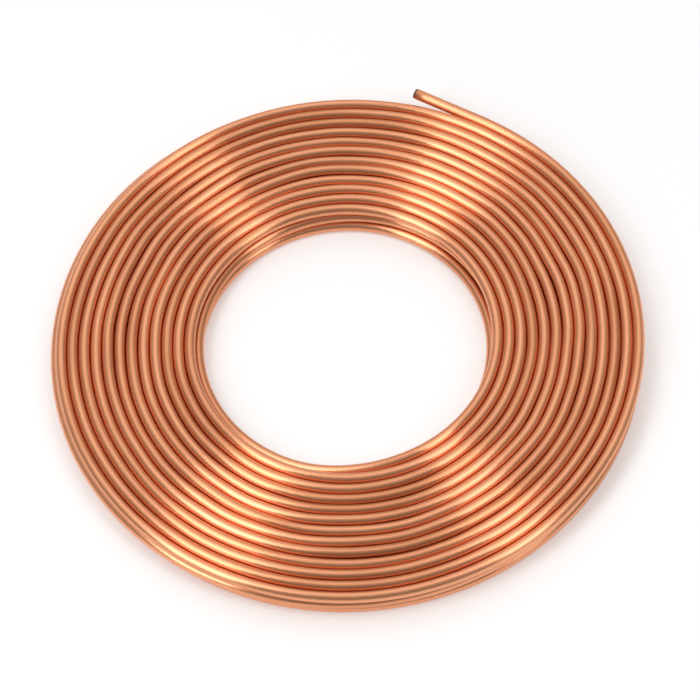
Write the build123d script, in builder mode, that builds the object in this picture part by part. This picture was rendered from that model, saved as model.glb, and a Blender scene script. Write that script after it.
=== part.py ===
"""Coil of soft copper tube, wound flat in layers, with its outer end left straight and open."""

import os

from build123d import *

# Driving dimensions, in millimetres and degrees
tube_diameter = 6.35
tube_wall = 0.8
layers = 3
turns = 13
eye_diameter = 157.0
end_length = 47.0
round_end_length = 14.0
end_angle = 56.0

# Each turn is drawn eight-sided, tube_diameter across its flats
section_sides = 8
section_turn = 180 / section_sides

# Sizes that follow from them
tube_radius = tube_diameter / 2
bore_radius = tube_radius - tube_wall
coil_height = layers * tube_diameter
top_level = coil_height - tube_radius
first_turn = eye_diameter / 2 + tube_radius
last_turn = first_turn + turns * tube_diameter
half_turn_growth = tube_diameter / 2
centre_shift = half_turn_growth / 2
hidden_inset = tube_radius / 4

os.makedirs("parts", exist_ok=True)


def turns_in_section(rows):
    """One tube section for each turn, side by side in as many rows as there are layers."""
    with GridLocations(tube_diameter, tube_diameter, turns, rows):
        RegularPolygon(tube_radius, section_sides, major_radius=False, rotation=section_turn)


with BuildPart() as copper_tube_coil:
    turns_width = (turns - 1) * tube_diameter

    # Lower layers: full rings, solid between their centre lines
    lower_layers = layers - 1
    middle_of_rings = first_turn + half_turn_growth + hidden_inset + turns_width / 2
    with BuildSketch(Plane.XZ):
        with Locations((middle_of_rings, lower_layers * tube_radius)):
            turns_in_section(lower_layers)
        with Locations((middle_of_rings, tube_radius)):
            Rectangle(turns_width, coil_height - tube_diameter - tube_radius, align=(Align.CENTER, Align.MIN))
    revolve(axis=Axis.Z)

    # Top layer: a spiral of two half rounds, the second on a shifted centre and half a tube wider
    top_plane = Plane.XY.rotated((0, 0, end_angle))
    for half, side in enumerate((-1, 1)):
        centre = top_plane.from_local_coords(Vector(side * centre_shift, 0, 0))
        section_plane = Plane(centre, x_dir=-side * top_plane.x_dir, z_dir=side * top_plane.y_dir)
        middle_of_turns = first_turn + turns_width / 2 + centre_shift + half * half_turn_growth
        with BuildSketch(section_plane):
            with Locations((middle_of_turns, top_level)):
                turns_in_section(1)
                Rectangle(turns_width - 2 * hidden_inset, tube_diameter, align=(Align.CENTER, Align.MAX))
        revolve(axis=Axis(centre, (0, 0, 1)), revolution_arc=180)

    # Outer end of the tube: it runs on straight, and its last stretch is round and open
    end_section = Plane(
        top_plane.from_local_coords(Vector(last_turn, 0, top_level)),
        x_dir=top_plane.x_dir,
        z_dir=top_plane.y_dir,
    )
    with BuildSketch(end_section):
        RegularPolygon(tube_radius, section_sides, major_radius=False, rotation=section_turn)
    extrude(amount=end_length - round_end_length)
    with BuildSketch(end_section.offset(end_length - round_end_length)):
        Circle(tube_radius)
    extrude(amount=round_end_length)
    with BuildSketch(end_section.offset(end_length)):
        Circle(bore_radius)
    extrude(amount=-round_end_length, mode=Mode.SUBTRACT)

copper_tube_coil.part.label = "copper_tube_coil"
export_step(copper_tube_coil.part, "parts/copper_tube_coil.step")
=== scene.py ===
from math import cos, pi, radians, sin, tau

import bmesh
import bpy
from mathutils import Matrix, Vector


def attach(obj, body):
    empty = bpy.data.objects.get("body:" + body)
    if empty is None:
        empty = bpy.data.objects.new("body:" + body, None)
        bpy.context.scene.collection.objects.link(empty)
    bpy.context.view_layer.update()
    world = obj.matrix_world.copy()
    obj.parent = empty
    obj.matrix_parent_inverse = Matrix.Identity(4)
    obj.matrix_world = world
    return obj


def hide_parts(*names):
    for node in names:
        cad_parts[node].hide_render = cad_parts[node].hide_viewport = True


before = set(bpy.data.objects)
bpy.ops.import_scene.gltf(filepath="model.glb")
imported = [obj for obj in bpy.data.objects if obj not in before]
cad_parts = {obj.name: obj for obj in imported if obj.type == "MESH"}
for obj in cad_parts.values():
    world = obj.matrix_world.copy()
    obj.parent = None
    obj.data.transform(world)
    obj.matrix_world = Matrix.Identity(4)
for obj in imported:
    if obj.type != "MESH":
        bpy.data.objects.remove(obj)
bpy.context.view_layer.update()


# Copper tube: one length of soft copper tube, wound turn beside turn in three flat layers.
# It climbs a layer each time it reaches the rim or the eye, and its outer end runs on straight.
# Drawn through a die, so fine scratches follow its length all the way round the coil.
tube_diameter = 0.00635
tube_wall = 0.0008
layers = 3
turns_in_all = 37.25
inner_radius = 0.0832
outer_radius = 0.1652
first_layer_inset = 0.0019
end_angle = radians(57.5)
end_length = 0.0431
climb_turns = 0.16
drift_width = 0.0026
drifts_in_a_metre = 22
ride_height = 0.0048
rides_from = 0.44
ride_scale = 0.9
unlike_the_next_turn = 1.3
ride_salt = 8.1
steps_per_turn = 120
section_sides = 16
bore_depth_rings = 5
cutter_reach = 0.0012
cutter_squeeze = 0.00035


def add_node(tree, kind, inputs=(), **settings):
    """Adds one node with its settings. An input takes a value, a link from a socket, or a link from a node's
    first output."""
    node = tree.nodes.new(kind)
    for name, value in settings.items():
        setattr(node, name, value)
    for key, value in inputs.items() if isinstance(inputs, dict) else enumerate(inputs):
        source = value.outputs[0] if isinstance(value, bpy.types.Node) else value
        if isinstance(source, bpy.types.NodeSocket):
            tree.links.new(source, node.inputs[key])
        else:
            node.inputs[key].default_value = source
    return node


winding = bpy.data.node_groups.new("winding", "GeometryNodeTree")
winding_inputs = {
    "Turns in a layer": turns_in_all / layers,
    "Layers": layers,
    "Inner radius": inner_radius,
    "Outer radius": outer_radius,
    "First layer inset": first_layer_inset,
    "Tube diameter": tube_diameter,
    "End angle": end_angle,
    "Straight end": end_length,
    "Climb": climb_turns,
    "Drift": drift_width,
    "Drifts in a metre": drifts_in_a_metre,
    "Ride": ride_height,
    "Steps in a turn": steps_per_turn,
    "Sides": section_sides,
}
whole_numbers = ("Steps in a turn", "Sides")
for name in winding_inputs:
    kind = "NodeSocketInt" if name in whole_numbers else "NodeSocketFloat"
    winding.interface.new_socket(name, in_out="INPUT", socket_type=kind)
winding.interface.new_socket("Copper", in_out="INPUT", socket_type="NodeSocketMaterial")
winding.interface.new_socket("Tube", in_out="OUTPUT", socket_type="NodeSocketGeometry")
given = add_node(winding, "NodeGroupInput").outputs

# Points along the tube are counted in turns, from the inner end of the bottom layer
index = add_node(winding, "GeometryNodeInputIndex")
wound_turns = add_node(winding, "ShaderNodeMath", (given["Turns in a layer"], given["Layers"]),
                       operation="MULTIPLY")
wound_steps = add_node(winding, "ShaderNodeMath", (wound_turns, given["Steps in a turn"]),
                       operation="MULTIPLY")
wound_steps = add_node(winding, "ShaderNodeMath", (wound_steps,), operation="ROUND")
wound_index = add_node(winding, "ShaderNodeMath", (index, wound_steps), operation="MINIMUM")
turn = add_node(winding, "ShaderNodeMath", (wound_index, given["Steps in a turn"]), operation="DIVIDE")
turns_from_end = add_node(winding, "ShaderNodeMath", (turn, wound_turns), operation="SUBTRACT")
angle = add_node(winding, "ShaderNodeMath", (turns_from_end, tau, given["End angle"]),
                 operation="MULTIPLY_ADD")

# Halfway through each climb the tube turns back, at the rim or at the eye
climbing_from = add_node(winding, "ShaderNodeMath", (given["Climb"], 0.5, turn), operation="MULTIPLY_ADD")
last_layer = add_node(winding, "ShaderNodeMath", (given["Layers"], 1), operation="SUBTRACT")
layer = add_node(winding, "ShaderNodeMath", (climbing_from, given["Turns in a layer"]), operation="DIVIDE")
layer = add_node(winding, "ShaderNodeMath", (layer,), operation="FLOOR")
layer = add_node(winding, "ShaderNodeMath", (layer, last_layer), operation="MINIMUM")
layer_start = add_node(winding, "ShaderNodeMath", (layer, given["Turns in a layer"]), operation="MULTIPLY")
into_layer = add_node(winding, "ShaderNodeMath", (climbing_from, layer_start), operation="SUBTRACT")
climb = add_node(winding, "ShaderNodeMapRange", {"Value": into_layer, "From Max": given["Climb"]},
                 interpolation_type="SMOOTHSTEP")
layer_below = add_node(winding, "ShaderNodeMath", (layer, 1), operation="SUBTRACT")
level = add_node(winding, "ShaderNodeMath", (layer_below, climb), operation="ADD")
level = add_node(winding, "ShaderNodeMath", (level, 0), operation="MAXIMUM")
mid_level = add_node(winding, "ShaderNodeMath", (level, 0.5), operation="ADD")
height = add_node(winding, "ShaderNodeMath", (mid_level, given["Tube diameter"]), operation="MULTIPLY")

# The radius goes out and in again from layer to layer, and the lower layers reach a little further in
turns_across = add_node(winding, "ShaderNodeMath", (turn, given["Turns in a layer"]), operation="PINGPONG")
across = add_node(winding, "ShaderNodeMath", (turns_across, given["Turns in a layer"]), operation="DIVIDE")
inset = add_node(winding, "ShaderNodeMapRange", {
    "Value": level, "From Max": last_layer, "To Min": given["First layer inset"], "To Max": 0})
innermost = add_node(winding, "ShaderNodeMath", (given["Inner radius"], inset), operation="SUBTRACT")
even_radius = add_node(winding, "ShaderNodeMapRange", {
    "Value": across, "To Min": innermost, "To Max": given["Outer radius"]})

# No two gaps are alike: turns drift in and out together, least at the rim and the eye
even_place = add_node(winding, "ShaderNodeCombineXYZ", {"X": even_radius})
even_place = add_node(winding, "ShaderNodeVectorRotate", {"Vector": even_place, "Angle": angle},
                      rotation_type="Z_AXIS")
drift = add_node(winding, "ShaderNodeTexNoise", {
    "Vector": even_place, "W": level, "Scale": given["Drifts in a metre"], "Detail": 1},
    noise_dimensions="4D")
drift = add_node(winding, "ShaderNodeMath", (drift, 0.5), operation="SUBTRACT")
drift = add_node(winding, "ShaderNodeMath", (drift, given["Drift"]), operation="MULTIPLY")
ends_held = add_node(winding, "ShaderNodeMath", (across, pi), operation="MULTIPLY")
ends_held = add_node(winding, "ShaderNodeMath", (ends_held,), operation="SINE")
radius = add_node(winding, "ShaderNodeMath", (drift, ends_held, even_radius), operation="MULTIPLY_ADD")

# Here and there a turn of the top layer rides up on what is under it, by itself
turn_shift = add_node(winding, "ShaderNodeMath", (turn, unlike_the_next_turn), operation="MULTIPLY")
ride_place = add_node(winding, "ShaderNodeCombineXYZ", {"X": 1, "Z": turn_shift})
ride_place = add_node(winding, "ShaderNodeVectorRotate", {"Vector": ride_place, "Angle": angle},
                      rotation_type="Z_AXIS")
ride = add_node(winding, "ShaderNodeTexNoise", {
    "Vector": ride_place, "W": ride_salt, "Scale": ride_scale, "Detail": 1}, noise_dimensions="4D")
ride = add_node(winding, "ShaderNodeMath", (ride, rides_from), operation="SUBTRACT")
ride = add_node(winding, "ShaderNodeMath", (ride, 0), operation="MAXIMUM")
ride = add_node(winding, "ShaderNodeMath", (ride, given["Ride"]), operation="MULTIPLY")
ride = add_node(winding, "ShaderNodeMath", (ride, ends_held), operation="MULTIPLY")
below_top = add_node(winding, "ShaderNodeMath", (last_layer, level), operation="SUBTRACT")
on_top = add_node(winding, "ShaderNodeMath", (1, below_top), operation="SUBTRACT")
on_top = add_node(winding, "ShaderNodeMath", (on_top, 0), operation="MAXIMUM")
ridden_height = add_node(winding, "ShaderNodeMath", (ride, on_top, height), operation="MULTIPLY_ADD")
wound_place = add_node(winding, "ShaderNodeCombineXYZ", {"X": radius, "Z": ridden_height})
wound_place = add_node(winding, "ShaderNodeVectorRotate", {"Vector": wound_place, "Angle": angle},
                       rotation_type="Z_AXIS")

# Past the last turn the tube runs straight on, along the direction that it left the coil in
rim_length = add_node(winding, "ShaderNodeMath", (given["Outer radius"], tau), operation="MULTIPLY")
step_length = add_node(winding, "ShaderNodeMath", (rim_length, given["Steps in a turn"]), operation="DIVIDE")
end_steps = add_node(winding, "ShaderNodeMath", (given["Straight end"], step_length), operation="DIVIDE")
end_steps = add_node(winding, "ShaderNodeMath", (end_steps,), operation="CEIL")
end_step = add_node(winding, "ShaderNodeMath", (given["Straight end"], end_steps), operation="DIVIDE")
steps_past = add_node(winding, "ShaderNodeMath", (index, wound_index), operation="SUBTRACT")
run_out = add_node(winding, "ShaderNodeMath", (steps_past, end_step), operation="MULTIPLY")
straight_on = add_node(winding, "ShaderNodeCombineXYZ", {"Y": run_out})
straight_on = add_node(winding, "ShaderNodeVectorRotate", {
    "Vector": straight_on, "Angle": given["End angle"]}, rotation_type="Z_AXIS")
place = add_node(winding, "ShaderNodeVectorMath", (wound_place, straight_on), operation="ADD")

# The section is swept along the path; each point keeps its place along and around the tube
line = add_node(winding, "GeometryNodeCurvePrimitiveLine")
all_steps = add_node(winding, "ShaderNodeMath", (wound_steps, end_steps), operation="ADD")
points = add_node(winding, "ShaderNodeMath", (all_steps, 1), operation="ADD")
path = add_node(winding, "GeometryNodeResampleCurve", {"Curve": line, "Count": points})
path = add_node(winding, "GeometryNodeSetPosition", {"Geometry": path, "Position": place})
path = add_node(winding, "GeometryNodeSetCurveNormal", {"Curve": path}, mode="Z_UP")
section_radius = add_node(winding, "ShaderNodeMath", (given["Tube diameter"], 0.5), operation="MULTIPLY")
section = add_node(winding, "GeometryNodeCurvePrimitiveCircle", {
    "Resolution": given["Sides"], "Radius": section_radius})
reached = add_node(winding, "GeometryNodeSplineParameter").outputs
path = add_node(winding, "GeometryNodeStoreNamedAttribute", {
    "Geometry": path, "Name": "along", "Value": reached["Length"]}, data_type="FLOAT", domain="POINT")
section = add_node(winding, "GeometryNodeStoreNamedAttribute", {
    "Geometry": section, "Name": "around", "Value": reached["Factor"]}, data_type="FLOAT", domain="POINT")
tube = add_node(winding, "GeometryNodeCurveToMesh", {"Curve": path, "Profile Curve": section})
tube = add_node(winding, "GeometryNodeRealizeInstances", {"Geometry": tube})
tube = add_node(winding, "GeometryNodeSetMaterial", {"Geometry": tube, "Material": given["Copper"]})
add_node(winding, "NodeGroupOutput", {"Tube": tube})


def from_hex(colour):
    """An sRGB hex colour as the linear RGBA that the shaders take."""
    shares = [int(colour[i:i + 2], 16) / 255 for i in (1, 3, 5)]
    linear = [s / 12.92 if s <= 0.04045 else ((s + 0.055) / 1.055) ** 2.4 for s in shares]
    return (*linear, 1.0)


# Bright-drawn soft copper: a pink-orange metal, shining but for the die's fine lines along the tube.
# The lines spread each highlight around the tube and leave it crisp along it, so it shows as a band.
copper = bpy.data.materials.new("bright_drawn_soft_copper")
copper.use_nodes = True
copper_nodes = copper.node_tree
shader = copper_nodes.nodes["Principled BSDF"]
shader.inputs["Metallic"].default_value = 1.0
shader.inputs["Anisotropic"].default_value = 0.95
around_tube = add_node(copper_nodes, "ShaderNodeTangent", direction_type="UV_MAP", uv_map="UVMap").outputs[0]
copper_nodes.links.new(around_tube, shader.inputs["Tangent"])

# The skin's own place on the tube, rolled round again so that no pattern has a seam
skin_place = add_node(copper_nodes, "ShaderNodeUVMap", uv_map="UVMap")
skin_place = add_node(copper_nodes, "ShaderNodeSeparateXYZ", (skin_place,)).outputs
turned = add_node(copper_nodes, "ShaderNodeMath", (skin_place["X"], 2 / tube_diameter), operation="MULTIPLY")
rolled_x = add_node(copper_nodes, "ShaderNodeMath", (turned,), operation="COSINE")
rolled_y = add_node(copper_nodes, "ShaderNodeMath", (turned,), operation="SINE")
rolled = add_node(copper_nodes, "ShaderNodeCombineXYZ", {"X": rolled_x, "Y": rolled_y})

# Each pattern has so many patches around the tube and so many in a metre of its length. The duller
# patches are a hand long. Real die lines are under 0.1 mm apart, too fine to show, so these are 0.3 mm.
skin_patterns = {"patches": (1.5, 9, 3.0, 2.3), "die lines": (64, 8, 2.0, 5.9)}
skin = {}
for name, (patches_around, patches_in_a_metre, detail, salt) in skin_patterns.items():
    length = add_node(copper_nodes, "ShaderNodeMath", (skin_place["Y"], patches_in_a_metre),
                      operation="MULTIPLY")
    length = add_node(copper_nodes, "ShaderNodeCombineXYZ", {"Z": length})
    round_it = add_node(copper_nodes, "ShaderNodeVectorMath", {
        "Vector": rolled, "Scale": patches_around / tau}, operation="SCALE")
    spread = add_node(copper_nodes, "ShaderNodeVectorMath", (round_it, length), operation="ADD")
    skin[name] = add_node(copper_nodes, "ShaderNodeTexNoise", {
        "Vector": spread, "W": salt, "Scale": 1, "Detail": detail}, noise_dimensions="4D")

# Air and hands have dulled it unevenly: fresh pink-orange metal, and patches a little browner
fresh_copper = from_hex("#F5AA80")
dulled_copper = from_hex("#E0966C")
how_dull = add_node(copper_nodes, "ShaderNodeMapRange", {
    "Value": skin["patches"], "From Min": 0.42, "From Max": 0.68}, interpolation_type="SMOOTHSTEP")
colour = add_node(copper_nodes, "ShaderNodeMix", {
    "Factor": how_dull, 6: fresh_copper, 7: dulled_copper}, data_type="RGBA").outputs[2]
copper_nodes.links.new(colour, shader.inputs["Base Color"])

# The die lines are a shade rougher where they are deep
roughness = add_node(copper_nodes, "ShaderNodeMapRange", {
    "Value": skin["die lines"], "From Min": 0.3, "From Max": 0.7, "To Min": 0.22, "To Max": 0.29})
copper_nodes.links.new(roughness.outputs[0], shader.inputs["Roughness"])
relief = add_node(copper_nodes, "ShaderNodeBump", {
    "Strength": 0.25, "Distance": 0.00002, "Height": skin["die lines"]})
copper_nodes.links.new(relief.outputs[0], shader.inputs["Normal"])

# Copper bore: the tube's inside and its cut rim, without the drawn shine. Their dark brown is painted shade
# for the open end.
bore_copper = bpy.data.materials.new("copper_bore_painted_shade")
bore_copper.use_nodes = True
bore_shader = bore_copper.node_tree.nodes["Principled BSDF"]
bore_shader.inputs["Metallic"].default_value = 1.0
bore_shader.inputs["Base Color"].default_value = from_hex("#7D5A50")
bore_shader.inputs["Roughness"].default_value = 0.45

wound = bpy.data.objects.new("copper_tube", bpy.data.meshes.new("copper_tube"))
bpy.context.scene.collection.objects.link(wound)
modifier = wound.modifiers.new("winding", "NODES")
modifier.node_group = winding
sockets = {item.name: item.identifier for item in winding.interface.items_tree if item.in_out == "INPUT"}
for name, value in winding_inputs.items():
    modifier[sockets[name]] = value
modifier[sockets["Copper"]] = copper
tube_mesh = bpy.data.meshes.new_from_object(wound.evaluated_get(bpy.context.evaluated_depsgraph_get()))
wound.modifiers.clear()
wound.data = tube_mesh
tube_mesh.materials.append(bore_copper)

# Both ends are cut square with a wheel cutter, which squeezes the rim in a little. They are open:
# the wall shows as a ring, and the bore goes on inside the tube until it is lost in the dark.
shape = bmesh.new()
shape.from_mesh(tube_mesh)
shape.verts.ensure_lookup_table()
along = shape.verts.layers.float["along"]
around = shape.verts.layers.float["around"]
rings = [shape.verts[i:i + section_sides] for i in range(0, len(shape.verts), section_sides)]
tube_radius = tube_diameter / 2
bore_radius = tube_radius - tube_wall
# The wall ring and the bore take the second material, whose dark brown is painted shade
for end_rings, outward in ((rings[:bore_depth_rings], -1), (rings[:-bore_depth_rings - 1:-1], 1)):
    centres = [sum((vert.co for vert in ring), Vector()) / section_sides for ring in end_rings]
    push = (centres[0] - centres[1]).normalized() * cutter_reach
    steps = [(0, tube_radius - cutter_squeeze, push), (0, bore_radius, push)]
    steps += [(depth, bore_radius, Vector()) for depth in range(1, bore_depth_rings)]
    outer, walked = end_rings[0], end_rings[0][0][along]
    for depth, ring_radius, pushed in steps:
        walked += outward * tube_wall
        inner = []
        for vert in end_rings[depth]:
            spoke = (vert.co - centres[depth]).normalized() * ring_radius
            inner.append(shape.verts.new(centres[depth] + spoke + pushed, vert))
            inner[-1][along] = walked
        for i in range(section_sides):
            shape.faces.new((outer[i - 1], outer[i], inner[i], inner[i - 1])).material_index = 1
        if pushed.length:
            for i in range(section_sides):
                shape.edges.get((inner[i - 1], inner[i])).smooth = False
        outer = inner
    shape.faces.new(outer).material_index = 1
for face in shape.faces:
    face.smooth = True
bmesh.ops.recalc_face_normals(shape, faces=shape.faces)

# The UV map is the tube's skin laid flat, in metres: around it first, then along it
skin_map = shape.loops.layers.uv.new("UVMap")
for face in shape.faces:
    shares = [loop.vert[around] for loop in face.loops]
    crosses_seam = max(shares) - min(shares) > 0.5
    for loop, share in zip(face.loops, shares):
        unwrapped = share + 1 if crosses_seam and share < 0.5 else share
        loop[skin_map].uv = (unwrapped * tube_diameter * pi, loop.vert[along])
shape.to_mesh(tube_mesh)
shape.free()

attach(wound, "root")
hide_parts("copper_tube_coil")


# Floor: a plain pale board that the coil lies on, matte so that it mirrors nothing.
# It keeps the coil's shadow, and a little light of its own, for rays that see it, lifts it to white.
floor_size = 6.0
white_lift = 0.19
half = floor_size / 2
floor_mesh = bpy.data.meshes.new("floor")
floor_corners = [(-half, -half, 0), (half, -half, 0), (half, half, 0), (-half, half, 0)]
floor_mesh.from_pydata(floor_corners, [], [(0, 1, 2, 3)])
floor = bpy.data.objects.new("floor", floor_mesh)
bpy.context.scene.collection.objects.link(floor)
white_board = bpy.data.materials.new("matte_white_board")
white_board.use_nodes = True
board_nodes = white_board.node_tree
board = board_nodes.nodes["Principled BSDF"]
board.inputs["Base Color"].default_value = from_hex("#FFFFFF")
board.inputs["Roughness"].default_value = 0.9
seen_by = add_node(board_nodes, "ShaderNodeLightPath").outputs
seen = seen_by["Is Camera Ray"]
for ray in ("Is Glossy Ray", "Is Transmission Ray"):
    seen = add_node(board_nodes, "ShaderNodeMath", (seen, seen_by[ray]), operation="MAXIMUM").outputs[0]
lift = add_node(board_nodes, "ShaderNodeMath", (seen, white_lift), operation="MULTIPLY")
board.inputs["Emission Color"].default_value = from_hex("#FFFFFF")
board_nodes.links.new(lift.outputs[0], board.inputs["Emission Strength"])
floor_mesh.materials.append(white_board)


# Camera: in front of the coil and well above it, tipped a little, as the photograph was taken.
# Its lens is long, as in a picture for a catalogue, so the coil's far side is hardly smaller.
camera_elevation = radians(59.3)
camera_roll = radians(4.5)
camera_distance = 1.967
focal_pixels = 3500
image_width = 700
sensor_width = 36.0
coil_middle = Vector((0, 0, 0.015875))
middle_pixel = (346.4, 338.5)
to_camera = Vector((0, -cos(camera_elevation), sin(camera_elevation)))
level_up = Vector((0, sin(camera_elevation), cos(camera_elevation)))
level_right = Vector((1, 0, 0))
camera_right = level_right * cos(camera_roll) - level_up * sin(camera_roll)
camera_up = level_right * sin(camera_roll) + level_up * cos(camera_roll)
metres_per_pixel = camera_distance / focal_pixels
aim = (coil_middle
       - camera_right * (middle_pixel[0] - image_width / 2) * metres_per_pixel
       + camera_up * (middle_pixel[1] - image_width / 2) * metres_per_pixel)
camera_data = bpy.data.cameras.new("camera")
camera_data.sensor_width = sensor_width
camera_data.lens = sensor_width * focal_pixels / image_width
camera = bpy.data.objects.new("camera", camera_data)
axes = Matrix((camera_right, camera_up, to_camera)).transposed().to_4x4()
camera.matrix_world = Matrix.Translation(aim + to_camera * camera_distance) @ axes
bpy.context.scene.collection.objects.link(camera)
bpy.context.scene.camera = camera
bpy.context.scene.view_settings.view_transform = "Standard"


# Studio: a wide soft panel high behind the coil, dim walls, and a pale horizon that meets the floor.
# Two strip softboxes overhead show in the copper as the bright bands that run across the turns.
panel_elevation = radians(62)
panel_levels = {0.0: 0.20, 0.35: 0.25, 0.70: 0.42, 0.90: 0.80, 0.97: 1.10, 1.0: 1.22}
horizon_fades = {"From Min": 0.16, "From Max": 0.05}
studio = bpy.data.worlds.new("studio")
bpy.context.scene.world = studio
studio.use_nodes = True
surroundings = studio.node_tree
direction = add_node(surroundings, "ShaderNodeTexCoord").outputs["Generated"]
to_panel = (0, cos(panel_elevation), sin(panel_elevation))
near_panel = add_node(surroundings, "ShaderNodeVectorMath", (direction, to_panel), operation="DOT_PRODUCT")
panel = add_node(surroundings, "ShaderNodeValToRGB", {"Fac": near_panel.outputs["Value"]})
stops = panel.color_ramp.elements
while len(stops) < len(panel_levels):
    stops.new(0.5)
for stop, (closeness, brightness) in zip(stops, panel_levels.items()):
    stop.position = closeness
    stop.color = (brightness, brightness, brightness, 1)
rise = add_node(surroundings, "ShaderNodeSeparateXYZ", (direction,)).outputs["Z"]
horizon = add_node(surroundings, "ShaderNodeMapRange", {"Value": rise, **horizon_fades},
                   interpolation_type="SMOOTHSTEP")
panel_or_horizon = add_node(surroundings, "ShaderNodeMath", (panel, horizon), operation="MAXIMUM")
surroundings.links.new(panel_or_horizon.outputs[0], surroundings.nodes["Background"].inputs["Color"])


def strip_softbox(name, band_angle, tilt, width, length, distance, power):
    """A strip light that the camera sees mirrored in the turns at one angle of the coil and its opposite,
    where the tube's side leans by the tilt towards that angle."""
    outward = Vector((cos(band_angle), sin(band_angle), 0))
    mirror = outward * sin(tilt) + Vector((0, 0, cos(tilt)))
    way = mirror * 2 * mirror.dot(to_camera) - to_camera
    across = Vector((-sin(band_angle), cos(band_angle), 0))
    across = (across - way * way.dot(across)).normalized()
    data = bpy.data.lights.new(name, "AREA")
    data.shape = "RECTANGLE"
    data.size, data.size_y, data.energy = width, length, power
    lamp = bpy.data.objects.new(name, data)
    turned = Matrix((across, way.cross(across), way)).transposed().to_4x4()
    lamp.matrix_world = Matrix.Translation(way * distance) @ turned
    bpy.context.scene.collection.objects.link(lamp)


strip_softbox("softbox_left", band_angle=radians(236.5), tilt=radians(29),
              width=0.68, length=2.2, distance=2.0, power=13.0)
strip_softbox("softbox_right", band_angle=radians(302.5), tilt=radians(29),
              width=0.46, length=2.0, distance=2.0, power=5.7)
